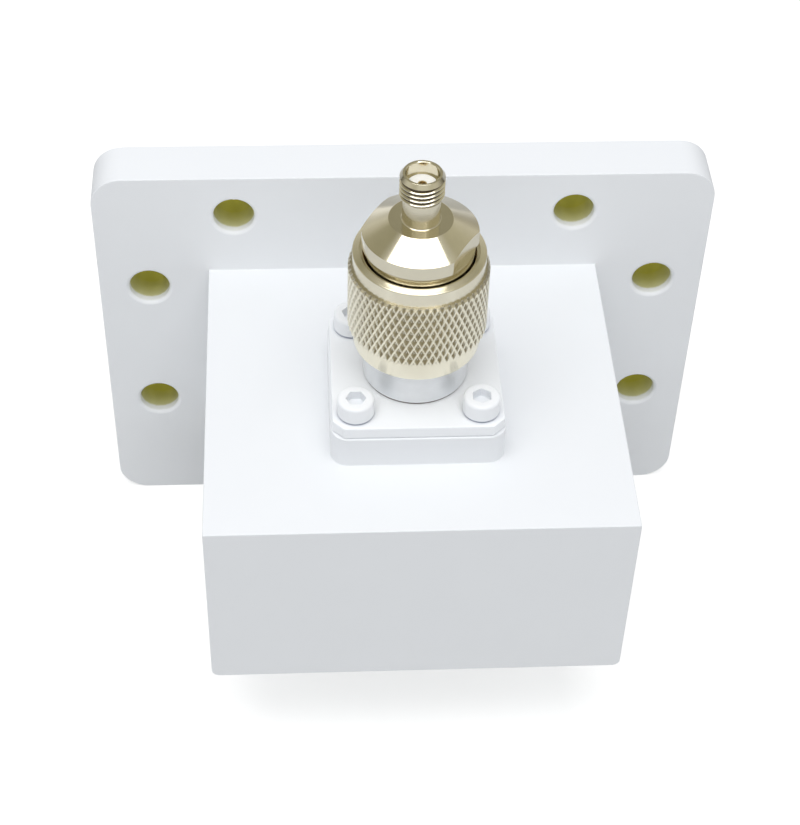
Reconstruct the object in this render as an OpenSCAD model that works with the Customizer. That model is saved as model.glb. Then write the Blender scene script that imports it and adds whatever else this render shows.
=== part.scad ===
// Right-angle waveguide to coaxial adapter.
// A rectangular guide with a bolted flange feeds a panel jack through a probe,
// and a screw-on coaxial adapter with a knurled nut sits on the jack.
// The origin is the centre of the flange's mating face. The guide runs along -Y and the coax along +Z.

/* [Waveguide] */
// Inside width of the guide
guide_w = 58.17; // [50:0.01:66]
// Inside height of the guide
guide_h = 29.08; // [27:0.01:34]
// Radius of the guide's inside corners
guide_corner_r = 0.8; // [0.4:0.1:1.5]
// Thickness of the side walls
side_wall = 2.3; // [1.6:0.1:4]
// Thickness of the top and bottom walls
cover_wall = 1.75; // [1.4:0.05:3]
// Thickness of the closed end
end_wall = 2.4; // [1.6:0.1:5]
// Length from the mating face to the outside of the closed end
body_len = 65.2; // [60:0.1:80]
// Radius along the two lower edges of the guide's outside
lower_edge_r = 1.2; // [0.4:0.1:2]

/* [Mounting flange] */
// Width of the flange
flange_w = 98.4; // [94:0.1:110]
// Height of the flange
flange_h = 69.85; // [67:0.05:80]
// Thickness of the flange
flange_t = 8.4; // [5:0.1:12]
// Radius of the flange's corners
flange_corner_r = 5; // [2:0.5:7]
// Diameter of the bolt holes
bolt_hole_d = 6.5; // [5:0.1:7.2]
// Broken edge round the bolt holes
bolt_edge = 0.4; // [0.2:0.1:0.8]
// Spacing across of the holes above and below the guide
cover_holes_x = 54; // [46:0.1:58]
// Distance of these holes from the flange's upper and lower edges
cover_hole_edge = 7.625; // [5.5:0.025:9]
// Distance of the holes beside the guide from the flange's ends
side_hole_edge = 8.05; // [5.5:0.05:9]
// Spacing in height of the holes beside the guide
side_holes_z = 25.5; // [18:0.1:30]

/* [Launch pad] */
// Distance from the mating face to the coax axis
axis_back = 39.4; // [34:0.1:44]
// How far the square pad stands out beyond the jack's flange
pad_margin = 0.25; // [0:0.05:2]
// Height of the pad
pad_h = 5.35; // [4:0.05:9]
// Radius of the pad's corners
pad_corner_r = 2.6; // [1:0.1:3]
// Depth of the tapped holes below the screws' ends
tap_spare = 0.8; // [0.4:0.1:1.2]

/* [Probe] */
// Diameter of the insulator through the top wall
launch_d = 10.4; // [9:0.1:12]
// Diameter of the probe's sleeve
probe_d = 6.4; // [5:0.1:9]
// Length of the probe's sleeve
probe_len = 12.5; // [8:0.1:14]
// How far the probe reaches below the guide's ceiling
probe_reach = 17.5; // [15:0.1:20]
// Rounding of the probe's end
probe_end_r = 0.8; // [0.3:0.1:1.5]

/* [Panel jack] */
// Spacing of the screw holes in the jack's flange
screw_pitch = 18.26; // [17:0.01:20]
// Distance of the screw holes from the flange's sides
screw_margin = 3.42; // [3.2:0.01:5]
// Leg of the cut at the flange's corners
jack_corner_cut = 1.7; // [1:0.1:2.8]
// Thickness of the jack's flange
jack_flange_t = 2; // [1.6:0.1:3]
// Diameter of the smooth barrel
barrel_d = 15.5; // [15.2:0.1:17.4]
// Length of the smooth barrel
barrel_len = 6.15; // [4.5:0.05:8]
// Mean diameter of the jack's thread
jack_thread_d = 15.2; // [13.6:0.05:16.6]
// Depth of the mating shoulder below the jack's mouth
mating_depth = 9.1; // [8.2:0.1:10.2]
// Inside diameter of the coaxial line
line_d = 7; // [6.6:0.05:7.3]
// Diameter of the centre conductor
conductor_d = 3.04; // [2.7:0.01:3.3]
// How far the socket stands above the mating shoulder
socket_rise = 4.95; // [4.4:0.05:5.2]
// Diameter of the pin
pin_d = 1.6; // [1.4:0.02:1.7]

/* [Flange screws] */
// Diameter of the screw's shank
screw_d = 3; // [2.6:0.1:3.2]
// Diameter of the screw's head
screw_head_d = 5.4; // [5:0.1:5.8]
// Height of the screw's head
screw_head_h = 3; // [2:0.1:3.4]
// Length of the screw under its head
screw_len = 7; // [5:0.1:7.6]
// Width across the flats of the key hole
key_af = 2.5; // [2:0.1:2.6]
// Depth of the key hole
key_depth = 1.5; // [1:0.1:1.6]

/* [Coupling nut] */
// Wall of the plain ring at the nut's foot
nut_foot_wall = 1.35; // [0.9:0.05:1.7]
// Height of the plain ring at the nut's foot
nut_foot_h = 3.4; // [3:0.1:5]
// Wall at the ridges of the knurl
knurl_wall = 2.2; // [2.05:0.05:2.6]
// Height of the knurled band
knurl_h = 10.75; // [9.2:0.05:12]
// Spacing of the knurl's pits round the nut
knurl_pitch = 1.09; // [0.9:0.01:1.6]
// Depth of the knurl's pits
knurl_depth = 0.42; // [0.2:0.02:0.45]
// Wall of the plain ring at the nut's top
nut_top_wall = 1.6; // [1.4:0.05:2]
// Height of the plain ring at the nut's top
nut_top_h = 2.65; // [2.2:0.05:3.2]
// How far the recess in the nut's top widens beyond the thread
nut_recess_step = 0.6; // [0.45:0.05:0.8]
// Depth of the recess in the nut's top
nut_recess_h = 0.3; // [0.2:0.05:0.8]

/* [Screw-on adapter] */
// Gap between the nut's top and the shell's rim
rim_clear = 1.25; // [0.9:0.05:2]
// How far the shell's rim stays inside the nut's recess, on the radius
rim_gap = 0.25; // [0.1:0.05:0.6]
// Height of the shell's rim
rim_h = 2.2; // [1.5:0.05:3]
// Height of the cone
cone_h = 2.15; // [1.6:0.05:3]
// Diameter of the flat on top of the cone
cone_top_d = 9.05; // [8:0.05:10]
// Depth of the wrench flats in the shell's rim
wrench_cut = 0.95; // [0.4:0.05:1.4]
// Turn of the wrench flats about the coax axis
wrench_turn = -32; // [-45:1:45]
// Diameter of the collar below the small connector's neck
collar_d = 5.7; // [5.6:0.05:6.6]
// Height of the collar
collar_h = 0.1; // [0.05:0.05:0.4]
// Diameter of the neck
neck_d = 5.35; // [5.2:0.05:5.6]
// Height from the cone's flat to the thread
neck_h = 3.8; // [2.5:0.1:5]
// Outside diameter of the small connector's thread
small_thread_d = 6.3; // [6.1:0.05:6.4]
// Height of the small connector's thread
small_thread_h = 4.15; // [3.6:0.05:6]
// Broken edge at the thread's end
small_edge = 0.5; // [0.2:0.05:0.6]
// Diameter of the small connector's mouth
mouth_d = 4.6; // [4.4:0.02:4.8]
// Depth of the small connector's mouth
mouth_depth = 1.9; // [1.6:0.1:2.2]
// Outside diameter of the small connector's insulator
core_d = 4.1; // [3.8:0.02:4.2]
// Diameter of the small connector's socket
small_socket_d = 1.27; // [1.1:0.01:1.4]
// Bore of the small connector's socket
small_bore_d = 0.94; // [0.8:0.01:1]
// Thickness of the sealing gasket
gasket_t = 1.3; // [1:0.1:1.6]
// Wall of the ferrule that enters the jack
ferrule_wall = 0.45; // [0.3:0.05:0.8]

/* [Clearances] */
// Gap between the nut's thread and the jack's thread, on the radius
thread_gap = 0.3; // [0.25:0.05:0.35]
// Running gap between the nut and the shell
nut_gap = 0.3; // [0.2:0.05:0.35]
// Gap where the adapter meets the jack end to end
seat_gap = 0.25; // [0.2:0.05:0.3]
// Gap round the ferrule in the jack's mouth, on the radius
ferrule_gap = 0.2; // [0.1:0.05:0.3]
// Gap round a screw in its hole, on the radius
screw_gap = 0.2; // [0.1:0.05:0.3]
// Gap round the pin in the socket, on the radius
pin_gap = 0.2; // [0.15:0.05:0.25]

/* [Hidden] */
$fn = 64;
over = 1;

// How far the wide insulator enters the jack, and how far its top stays below the mating shoulder
bead_rise = 2.5;
insulator_drop = 1;

// The guide's outside and the levels up the coax axis
box_w = guide_w + 2 * side_wall;
box_h = guide_h + 2 * cover_wall;
ceiling_z = guide_h / 2;
roof_z = box_h / 2;
pad_z = roof_z + pad_h;
jack_z = pad_z + jack_flange_t;
bead_z = jack_z + bead_rise;
barrel_z = jack_z + barrel_len;
nut_z = barrel_z + nut_gap;
knurl_z = nut_z + nut_foot_h;
ring_z = knurl_z + knurl_h;
nut_top_z = ring_z + nut_top_h;
recess_z = nut_top_z - nut_recess_h;
rim_z = nut_top_z + rim_clear;
cone_z = rim_z + rim_h;
cone_top_z = cone_z + cone_h;
thread_z = cone_top_z + neck_h;
small_end_z = thread_z + small_thread_h;
mouth_z = small_end_z - mouth_depth;

// Small shared details
slot_w = 0.35;
edge = 0.3;

// The flange and the pad under the panel jack
cover_holes_z = flange_h - 2 * cover_hole_edge;
side_holes_x = flange_w - 2 * side_hole_edge;
jack_side = screw_pitch + 2 * screw_margin;
pad_side = jack_side + 2 * pad_margin;
tap_depth = screw_len - jack_flange_t + tap_spare;
screw_spots = [[1, 1], [1, -1], [-1, -1], [-1, 1]];
screw_turns = [14, 30, 0, 47];

// The nut round the jack's thread, and the ring that holds it captive on the shell
nut_bore_r = jack_thread_d / 2 + thread_gap;
nut_foot_r = nut_bore_r + nut_foot_wall;
knurl_r = nut_bore_r + knurl_wall;
nut_top_r = nut_bore_r + nut_top_wall;
recess_r = nut_bore_r + nut_recess_step;
rim_r = recess_r - rim_gap;
lip_t = 1.6;
lip_r = nut_bore_r + edge / 2;
neck_r = lip_r - nut_gap;
clip_t = 0.9;
clip_grip = 0.6;
clip_rise = 1.3;
clip_stand = 0.5;
clip_r = lip_r + clip_stand;
clip_seat_r = neck_r - clip_grip;
clip_z = recess_z - lip_t - nut_gap - clip_t;

// The jack's end below the shell, with the gasket between them
plug_z = clip_z - clip_rise;
gasket_z = plug_z - gasket_t;
jack_end_z = gasket_z - seat_gap;
shoulder_z = jack_end_z - mating_depth;

// The adapter's inner line
ferrule_r = line_d / 2 + ferrule_wall;
jack_mouth_r = ferrule_r + ferrule_gap;
ferrule_collar_r = (ferrule_r + neck_r) / 2;
ferrule_collar_t = 1.2;
ferrule_land = 2;
line_h = 3.6;
line_z = plug_z + ferrule_collar_t;
line_top_z = line_z + line_h;
bead_t = 2.4;
pin_shoulder_z = shoulder_z + socket_rise + seat_gap;
pin_len = 6;
pin_top_gap = 0.4;
pin_top_z = line_top_z - pin_top_gap;
join_depth = 2;
socket_depth = 9;
small_socket_depth = 3;
core_seat = 1;
core_z = line_top_z + core_seat;

// The knurl's lattice: diamonds taller than wide, whole pits round the nut, half rows up the band
knurl_slant = 2.2;
knurl_n = round(2 * PI * knurl_r / knurl_pitch);
knurl_rows = round(2 * knurl_h / (knurl_slant * knurl_pitch));
knurl_root_r = knurl_r - knurl_depth;

module coax() {
    translate([0, -axis_back, 0]) children();
}

module turned(profile) {
    coax() rotate_extrude() polygon(profile);
}

module rounded_plate(size, r) {
    square([size.x - 2 * r, size.y], center = true);
    square([size.x, size.y - 2 * r], center = true);
    for (x = [-1, 1], y = [-1, 1])
        translate([x * (size.x / 2 - r), y * (size.y / 2 - r)]) circle(r);
}

module along_guide(length) {
    rotate([90, 0, 0]) linear_extrude(length) children();
}

module guide_outline() {
    w = box_w - 2 * lower_edge_r;
    translate([-w / 2, -box_h / 2]) square([w, box_h]);
    translate([-box_w / 2, lower_edge_r - box_h / 2]) square([box_w, box_h - lower_edge_r]);
    for (x = [-1, 1])
        translate([x * w / 2, lower_edge_r - box_h / 2]) circle(lower_edge_r);
}

module bolt_hole() {
    r = bolt_hole_d / 2;
    rotate([90, 0, 0]) rotate_extrude() polygon([
        [0, -over], [r + bolt_edge + over, -over], [r, bolt_edge], [r, flange_t - bolt_edge],
        [r + bolt_edge + over, flange_t + over], [0, flange_t + over]
    ]);
}

module bolt_holes() {
    for (x = [-1, 1], z = [-1, 1]) {
        translate([x * cover_holes_x / 2, 0, z * cover_holes_z / 2]) bolt_hole();
        translate([x * side_holes_x / 2, 0, z * side_holes_z / 2]) bolt_hole();
    }
}

module at_screws() {
    coax() for (i = [0:len(screw_spots) - 1])
        translate(screw_pitch / 2 * screw_spots[i]) rotate(screw_turns[i]) children();
}

module body() {
    color("white") difference() {
        union() {
            along_guide(flange_t) rounded_plate([flange_w, flange_h], flange_corner_r);
            along_guide(body_len) guide_outline();
            coax() translate([0, 0, ceiling_z + cover_wall / 2])
                linear_extrude(pad_z - ceiling_z - cover_wall / 2)
                    rounded_plate([pad_side, pad_side], pad_corner_r);
        }
        translate([0, over, 0]) along_guide(body_len - end_wall + over)
            rounded_plate([guide_w, guide_h], guide_corner_r);
        bolt_holes();
        coax() cylinder(d = launch_d, h = pad_z + over);
        at_screws() translate([0, 0, pad_z - tap_depth]) cylinder(d = screw_d, h = tap_depth + over);
    }
}

module jack_shell() {
    c = jack_side / 2;
    k = c - jack_corner_cut;
    thread_r = jack_thread_d / 2;
    color("gainsboro") difference() {
        union() {
            coax() translate([0, 0, pad_z]) linear_extrude(jack_flange_t)
                polygon([[c, -k], [c, k], [k, c], [-k, c], [-c, k], [-c, -k], [-k, -c], [k, -c]]);
            turned([
                [0, pad_z + edge], [barrel_d / 2, pad_z + edge], [barrel_d / 2, barrel_z],
                [thread_r - edge, barrel_z], [thread_r - edge, barrel_z + 2 * edge],
                [thread_r, barrel_z + 3 * edge], [thread_r, jack_end_z - edge],
                [thread_r - edge, jack_end_z], [0, jack_end_z]
            ]);
        }
        turned([
            [0, pad_z - over], [launch_d / 2, pad_z - over], [launch_d / 2, bead_z],
            [line_d / 2, bead_z], [line_d / 2, shoulder_z], [jack_mouth_r, shoulder_z],
            [jack_mouth_r, jack_end_z - edge], [jack_mouth_r + edge + over, jack_end_z + over],
            [0, jack_end_z + over]
        ]);
        at_screws() translate([0, 0, pad_z - over])
            cylinder(r = screw_d / 2 + screw_gap, h = jack_flange_t + 2 * over);
    }
}

module jack_insulator() {
    color("white") turned([
        [conductor_d / 2, ceiling_z], [launch_d / 2, ceiling_z], [launch_d / 2, bead_z],
        [line_d / 2, bead_z], [line_d / 2, shoulder_z - insulator_drop],
        [conductor_d / 2, shoulder_z - insulator_drop]
    ]);
}

// Slots through a tube that part its wall into springy fingers
module slots(count, first_turn, z, h, reach) {
    for (i = [0:count - 1])
        coax() rotate(first_turn + 180 * i / count) translate([-reach, -slot_w / 2, z])
            cube([2 * reach, slot_w, h]);
}

module jack_contact() {
    top_z = shoulder_z + socket_rise;
    foot_z = ceiling_z - probe_reach + probe_len / 2;
    bore_r = pin_d / 2 + pin_gap;
    color("gold") difference() {
        turned([
            [0, foot_z], [conductor_d / 2, foot_z], [conductor_d / 2, top_z - edge],
            [conductor_d / 2 - edge, top_z], [bore_r, top_z], [bore_r, top_z - socket_depth],
            [0, top_z - socket_depth]
        ]);
        slots(2, 45, top_z - socket_rise, socket_rise + over, conductor_d);
    }
}

module launch_probe() {
    tip_z = ceiling_z - probe_reach;
    r = probe_d / 2;
    steps = 6;
    color("gold") turned(concat(
        [[0, tip_z]],
        [for (i = [0:steps]) let (a = 90 * i / steps)
            [r - probe_end_r + probe_end_r * sin(a), tip_z + probe_end_r - probe_end_r * cos(a)]],
        [[r, tip_z + probe_len], [conductor_d / 2, tip_z + probe_len],
         [conductor_d / 2, tip_z + probe_len / 2], [0, tip_z + probe_len / 2]]
    ));
}

module screw() {
    r = screw_head_d / 2;
    shank_r = screw_d / 2 - screw_gap / 4;
    difference() {
        rotate_extrude() polygon([
            [0, -screw_len], [shank_r - edge, -screw_len], [shank_r, edge - screw_len],
            [shank_r, 0], [r, 0], [r, screw_head_h - edge], [r - edge, screw_head_h], [0, screw_head_h]
        ]);
        translate([0, 0, screw_head_h - key_depth])
            cylinder(d = key_af / cos(30), h = key_depth + over, $fn = 6);
    }
}

module flange_screws() {
    color("whitesmoke") at_screws() translate([0, 0, jack_z]) screw();
}

// A point of the knurl's lattice: row up the band, place round the nut, and radius
function knurl_point(row, place, r) =
    let (a = 360 * (place + row / 2) / knurl_n)
    [r * cos(a), r * sin(a), knurl_h * row / knurl_rows];

// Two families of ridges cross round the band, and each diamond between them is sunk to a pit.
// The diamonds at the band's ends are cut in half.
module knurl_band() {
    n = knurl_n;
    rows = knurl_rows;
    inner_r = knurl_root_r - edge;
    crossings = [for (k = [0:rows]) for (i = [0:n - 1]) knurl_point(k, i, knurl_r)];
    pits = [for (k = [0:rows]) for (i = [0:n - 1]) knurl_point(k, i + 0.5, knurl_root_r)];
    inside = [for (k = [0, rows]) for (i = [0:n - 1]) knurl_point(k, i, inner_r)];
    first_pit = len(crossings);
    first_inside = 2 * len(crossings);
    wrap = function(i) (i + n) % n;
    cross = function(k, i) k * n + wrap(i);
    pit = function(k, i) first_pit + k * n + wrap(i);
    inner = function(top, i) first_inside + top * n + wrap(i);
    upper = [for (k = [0:rows - 1]) for (i = [0:n - 1]) each [
        [cross(k, i + 1), pit(k, i), cross(k + 1, i)],
        [pit(k, i), cross(k, i), cross(k + 1, i)]
    ]];
    lower = [for (k = [1:rows]) for (i = [0:n - 1]) each [
        [cross(k, i), pit(k, i), cross(k - 1, i + 1)],
        [pit(k, i), cross(k, i + 1), cross(k - 1, i + 1)]
    ]];
    ends = [for (i = [0:n - 1]) each [
        [cross(0, i), pit(0, i), inner(0, i)],
        [pit(0, i), cross(0, i + 1), inner(0, i + 1)],
        [pit(0, i), inner(0, i + 1), inner(0, i)],
        [cross(rows, i + 1), pit(rows, i), inner(1, i + 1)],
        [pit(rows, i), cross(rows, i), inner(1, i)],
        [pit(rows, i), inner(1, i), inner(1, i + 1)],
        [inner(0, i), inner(0, i + 1), inner(1, i)],
        [inner(0, i + 1), inner(1, i + 1), inner(1, i)]
    ]];
    polyhedron(concat(crossings, pits, inside), concat(upper, lower, ends));
}

module coupling_nut() {
    core_r = knurl_root_r - edge / 2;
    thread_top_z = plug_z - 2 * edge;
    color("silver") union() {
        coax() translate([0, 0, knurl_z]) knurl_band();
        turned([
            [nut_bore_r + edge, nut_z], [nut_foot_r - edge, nut_z], [nut_foot_r, nut_z + edge],
            [nut_foot_r, knurl_z + edge], [core_r, knurl_z + edge], [core_r, ring_z - edge],
            [nut_top_r, ring_z - edge], [nut_top_r, nut_top_z - edge], [nut_top_r - edge, nut_top_z],
            [recess_r + edge / 2, nut_top_z], [recess_r, nut_top_z - edge / 2],
            [recess_r, recess_z], [lip_r, recess_z],
            [lip_r, clip_z + clip_t + nut_gap], [clip_r + nut_gap, clip_z + clip_t + nut_gap],
            [clip_r + nut_gap, clip_z - nut_gap], [lip_r, clip_z - nut_gap],
            [lip_r, thread_top_z], [nut_bore_r, thread_top_z], [nut_bore_r, nut_z + edge]
        ]);
    }
}

module retaining_ring() {
    color("goldenrod") difference() {
        turned([
            [clip_seat_r, clip_z], [clip_r, clip_z], [clip_r, clip_z + clip_t], [clip_seat_r, clip_z + clip_t]
        ]);
        coax() translate([0, -clip_t, clip_z - over]) cube([2 * clip_r, 2 * clip_t, clip_t + 2 * over]);
    }
}

module plug_shell() {
    small_r = small_thread_d / 2;
    color("silver") difference() {
        turned([
            [line_d / 2, line_z], [ferrule_collar_r, line_z], [ferrule_collar_r, plug_z],
            [neck_r - edge, plug_z], [neck_r, plug_z + edge], [neck_r, clip_z],
            [clip_seat_r, clip_z], [clip_seat_r, clip_z + clip_t], [neck_r, clip_z + clip_t],
            [neck_r, rim_z], [rim_r, rim_z], [rim_r, cone_z], [cone_top_d / 2, cone_top_z],
            [collar_d / 2, cone_top_z], [collar_d / 2, cone_top_z + collar_h],
            [neck_d / 2, cone_top_z + collar_h], [neck_d / 2, thread_z],
            [small_r, thread_z + edge], [small_r, small_end_z - small_edge],
            [small_r - small_edge, small_end_z], [mouth_d / 2, small_end_z], [mouth_d / 2, mouth_z],
            [core_d / 2, mouth_z], [core_d / 2, line_top_z], [line_d / 2, line_top_z]
        ]);
        coax() rotate([0, 0, wrench_turn]) for (side = [-1, 1])
            translate([side * (2 * rim_r - wrench_cut), 0, rim_z + (cone_h + rim_h) / 2])
                cube([2 * rim_r, 4 * rim_r, cone_h + rim_h], center = true);
    }
}

module plug_ferrule() {
    inner_r = line_d / 2;
    tip_z = shoulder_z + seat_gap;
    slot_h = mating_depth - ferrule_land;
    color("silver") difference() {
        turned([
            [inner_r, tip_z], [ferrule_r - edge / 2, tip_z], [ferrule_r, tip_z + edge], [ferrule_r, plug_z],
            [ferrule_collar_r, plug_z], [ferrule_collar_r, line_z], [inner_r, line_z]
        ]);
        slots(3, 0, tip_z - over, slot_h + over, 2 * ferrule_r);
    }
}

module sealing_gasket() {
    inner_r = ferrule_r + edge;
    color("firebrick") turned([
        [inner_r, gasket_z], [neck_r - 2 * edge, gasket_z], [neck_r - 2 * edge, plug_z], [inner_r, plug_z]
    ]);
}

module plug_insulator() {
    color("white") turned([
        [conductor_d / 2, line_z], [line_d / 2, line_z], [line_d / 2, line_z + bead_t],
        [conductor_d / 2, line_z + bead_t]
    ]);
}

module pin_contact() {
    r = pin_d / 2;
    tip_z = pin_shoulder_z - pin_len;
    color("gold") turned([
        [0, tip_z], [r / 2, tip_z], [r, tip_z + pin_d], [r, pin_shoulder_z], [conductor_d / 2, pin_shoulder_z],
        [conductor_d / 2, pin_top_z], [small_socket_d / 2, pin_top_z],
        [small_socket_d / 2, pin_top_z - join_depth], [0, pin_top_z - join_depth]
    ]);
}

module small_insulator() {
    color("white") turned([
        [small_socket_d / 2, core_z], [core_d / 2, core_z], [core_d / 2, mouth_z], [small_socket_d / 2, mouth_z]
    ]);
}

module small_contact() {
    r = small_socket_d / 2;
    bore_r = small_bore_d / 2;
    color("gold") turned([
        [0, pin_top_z - join_depth], [r, pin_top_z - join_depth], [r, mouth_z], [bore_r, mouth_z],
        [bore_r, mouth_z - small_socket_depth], [0, mouth_z - small_socket_depth]
    ]);
}

body();
jack_shell();
jack_insulator();
jack_contact();
launch_probe();
flange_screws();
coupling_nut();
retaining_ring();
plug_shell();
plug_ferrule();
sealing_gasket();
plug_insulator();
pin_contact();
small_insulator();
small_contact();
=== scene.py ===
"""Looks of a right-angle waveguide to coaxial adapter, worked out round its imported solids.

The painted body, the panel jack, its screws, the knurled nut and the screw-on adapter are surfaces
of two parameters, or the solid itself with softened edges. Lengths are metres and angles radians.
"""
import math

import bmesh
import bpy
import numpy as np
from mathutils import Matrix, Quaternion, Vector


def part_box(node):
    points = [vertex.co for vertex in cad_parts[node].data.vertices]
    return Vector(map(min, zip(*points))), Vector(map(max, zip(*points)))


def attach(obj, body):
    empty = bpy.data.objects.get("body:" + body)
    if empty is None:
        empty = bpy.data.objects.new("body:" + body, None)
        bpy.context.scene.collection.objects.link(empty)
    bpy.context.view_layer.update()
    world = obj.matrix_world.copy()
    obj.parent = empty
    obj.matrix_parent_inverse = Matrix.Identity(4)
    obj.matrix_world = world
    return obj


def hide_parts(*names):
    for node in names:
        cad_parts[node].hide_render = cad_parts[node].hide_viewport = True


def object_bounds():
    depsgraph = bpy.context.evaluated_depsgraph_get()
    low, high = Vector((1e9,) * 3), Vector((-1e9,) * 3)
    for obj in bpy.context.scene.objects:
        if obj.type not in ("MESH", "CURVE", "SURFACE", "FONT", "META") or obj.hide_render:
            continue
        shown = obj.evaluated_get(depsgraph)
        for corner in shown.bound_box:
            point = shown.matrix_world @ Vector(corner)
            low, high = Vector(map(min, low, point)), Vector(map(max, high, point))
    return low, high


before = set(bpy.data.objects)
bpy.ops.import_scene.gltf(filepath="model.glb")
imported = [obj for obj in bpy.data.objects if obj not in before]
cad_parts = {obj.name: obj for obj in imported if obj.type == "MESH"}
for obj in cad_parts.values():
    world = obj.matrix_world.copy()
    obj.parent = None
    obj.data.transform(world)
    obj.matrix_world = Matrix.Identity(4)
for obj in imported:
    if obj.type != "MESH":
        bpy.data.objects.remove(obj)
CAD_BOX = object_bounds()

bl_info = {
    "name": "Waveguide Coax Adapter",
    "version": (1, 0, 0),
    "blender": (4, 5, 0),
    "location": "View3D > Sidebar > Adapter",
    "description": "Dresses a waveguide to coaxial adapter round its packed solids",
    "category": "Object",
}

MM = 0.001
TURN = 2 * math.pi

# Places that the solids give: the coax axis and the levels up it
NUT_LOW, NUT_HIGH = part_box("coupling_nut")
JACK_LOW, JACK_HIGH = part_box("jack_shell")
PLUG_LOW, PLUG_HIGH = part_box("plug_shell")
BODY_LOW, BODY_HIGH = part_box("body")
AXIS = (NUT_LOW + NUT_HIGH) / 2
PAD_Z = JACK_LOW.z
MOUTH_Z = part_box("small_insulator")[1].z

# How near a point lies to a face or an edge to count as on it
SLACK = 0.05 * MM
# Leg of the chamfers, overlaps and run-outs that hardly show
STEP = 0.3 * MM
# Angle in degrees from which an edge of the body counts as sharp
EDGE_ANGLE = 35


def linear(hex_code):
    """The linear colour, with alpha, of an sRGB hex code."""
    parts = np.array([int(hex_code[i:i + 2], 16) / 255 for i in (1, 3, 5)])
    parts = np.where(parts <= 0.04045, parts / 12.92, ((parts + 0.055) / 1.055) ** 2.4)
    return (*parts.tolist(), 1.0)


def length(name, millimetres, description):
    """A length that a user can set, written in millimetres."""
    return bpy.props.FloatProperty(
        name=name, description=description, default=millimetres * MM, min=0, unit="LENGTH", precision=5
    )


def colour(name, hex_code, description):
    """A colour that a user can set, written as sRGB hex."""
    return bpy.props.FloatVectorProperty(
        name=name, description=description, default=linear(hex_code), min=0, max=1, size=4, subtype="COLOR"
    )


def spot(name, millimetres, description):
    """A point that a user can set, written in millimetres."""
    return bpy.props.FloatVectorProperty(
        name=name, description=description, default=[part * MM for part in millimetres],
        subtype="XYZ", unit="LENGTH",
    )


class FinishSettings(bpy.types.PropertyGroup):
    """Colours of the finishes."""

    paint: colour("Paint", "#F1F3F5", "White powder coat of the body")
    fitting_paint: colour("Fitting paint", "#F8FAFC", "White spray over the jack and its screws")
    # Painted shade: the bolt holes' coat is a darker, deeper copy of the bright film on the open faces
    shaded_hole_chromate: colour("Chromate", "#C6C13A", "Yellow conversion coat in the bolt holes")
    bright_film: colour("Bright film", "#D9CF96", "Thin conversion coat on the lapped face and in the guide")
    nickel: colour("Nickel", "#E6E0CC", "Bright nickel plate of the screw-on adapter")
    # Painted highlight: the nut's nickel is a paler copy of the shell's, to brighten its highlights
    brightened_nut_plate: colour("Nut plate", "#F1EBD7", "Nickel plate on the nut, a little paler than the shell's")
    # Painted shade: a darker tone laid in the knurl's pits and in the corner above the knurl
    pit_shade: colour("Tarnish", "#D6D1C2", "Dull film in the knurl's pits")
    silver: colour("White bronze", "#F2F4F7", "Satin white bronze plate of the jack's barrel")
    # Painted shade: a dark tone in the thread roots and in the groove at the barrel's foot
    root_shade: colour("Root film", "#6B5F54", "Dark film in thread roots and at the barrel's foot")
    # Painted shade: a dark blue-grey under the screw heads and down their key holes
    steel_shade: colour("Bare steel", "#3E5378", "Blued steel of the screws where the spray is thin")
    gold: colour("Gold", "#F3DDAA", "Gold plate of the contacts and the probe")
    core: colour("Core", "#F3F2EE", "White fluoropolymer of the insulators")
    gasket: colour("Gasket", "#8F2F22", "Red-brown silicone rubber of the gasket")
    bronze: colour("Bronze", "#B58546", "Bare spring bronze of the retaining ring")


class BodySettings(bpy.types.PropertyGroup):
    """Edges and paint limits of the body."""

    edge: length("Edge", 0.3, "Setback of the softened edges under the paint")
    lip: length("Painted lip", 1.5, "How far the paint covers the walls of the bolt holes")
    overspray: length("Overspray", 4, "How far past the lip the paint thins out in the bolt holes")
    lip_round: length("Lip rounding", 0.55, "Setback of the soft front edges of the bolt holes")
    flange_thickness: length("Flange thickness", 8.4, "Thickness of the mounting flange")
    hole: length("Bolt hole", 6.5, "Diameter of the bolt holes")
    hole_edge: length("Hole edge", 0.4, "Broken edge round the bolt holes")
    cover_holes_x: length("Cover holes across", 54, "Spacing across of the holes above and below the guide")
    cover_holes_z: length("Cover holes up", 54.6, "Spacing in height of the holes above and below the guide")
    side_holes_x: length("Side holes across", 82.3, "Spacing across of the holes beside the guide")
    side_holes_z: length("Side holes up", 25.5, "Spacing in height of the holes beside the guide")
    guide_width: length("Guide width", 58.17, "Inside width of the guide")
    guide_height: length("Guide height", 29.08, "Inside height of the guide")
    end_wall: length("End wall", 2.4, "Thickness of the closed end")


class JackSettings(bpy.types.PropertyGroup):
    """Sizes of the panel jack."""

    corner_cut: length("Corner cut", 1.7, "Leg of the cut at the flange's corners")
    flange_thickness: length("Flange thickness", 2, "Thickness of the square flange")
    edge: length("Edge", 0.18, "Setback of the flange's upper edge")
    seam: length("Seam", 0.32, "Setback of the flange's lower edge, which leaves a seam on the pad")
    barrel: length("Barrel", 15.5, "Diameter of the smooth barrel")
    barrel_length: length("Barrel length", 6.15, "Length of the smooth barrel")
    thread: length("Thread", 15.2, "Mean diameter of the jack's thread")
    thread_depth: length("Thread depth", 0.6, "Height of the thread from root to crest")
    pitch: length("Pitch", 25.4 / 24, "Rise of the thread in a turn")
    mouth: length("Mouth", 8.3, "Diameter of the jack's mouth")
    mating_depth: length("Mating depth", 9.1, "Depth of the mating shoulder below the mouth")
    line: length("Line", 7, "Inside diameter of the coaxial line")
    groove: length("Groove", 0.16, "Depth of the groove at the barrel's foot")
    groove_height: length("Groove height", 0.2, "Height of that groove's straight part")
    groove_slope: length("Groove slope", 0.14, "Height over which the groove runs out")
    launch: length("Launch", 10.4, "Diameter of the insulator through the top wall")
    launch_rise: length("Launch rise", 2.5, "How far the wide insulator enters the jack above its flange")


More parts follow.
